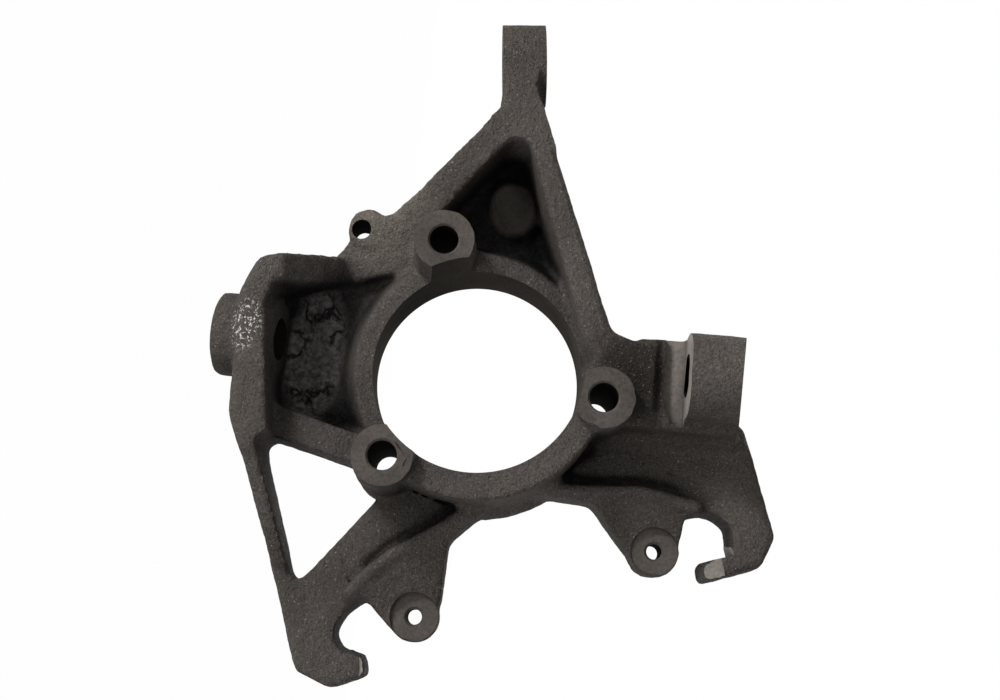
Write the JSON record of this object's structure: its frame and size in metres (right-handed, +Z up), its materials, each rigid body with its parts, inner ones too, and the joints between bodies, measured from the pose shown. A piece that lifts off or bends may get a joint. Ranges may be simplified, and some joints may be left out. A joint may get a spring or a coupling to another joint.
{
  "type": "steering knuckle",
  "caption": "Cast iron steering knuckle with a bolted hub bore, upper and lower ball joint bosses, a steering arm eye and two caliper hooks.",
  "frame": {"origin": "middle of the hub bore on the outboard hub face", "axes": "+Y along the wheel axis, outboard; +Z up, towards the upper ball joint; +X rearward, towards the caliper hooks"},
  "size_m": [0.259, 0.066, 0.2159],
  "materials": {
    "cast_iron": "dark sand-cast iron with machined seats"
  },
  "bodies": {
    "root": {"knuckle": "cast_iron"}
  },
  "joints": []
}
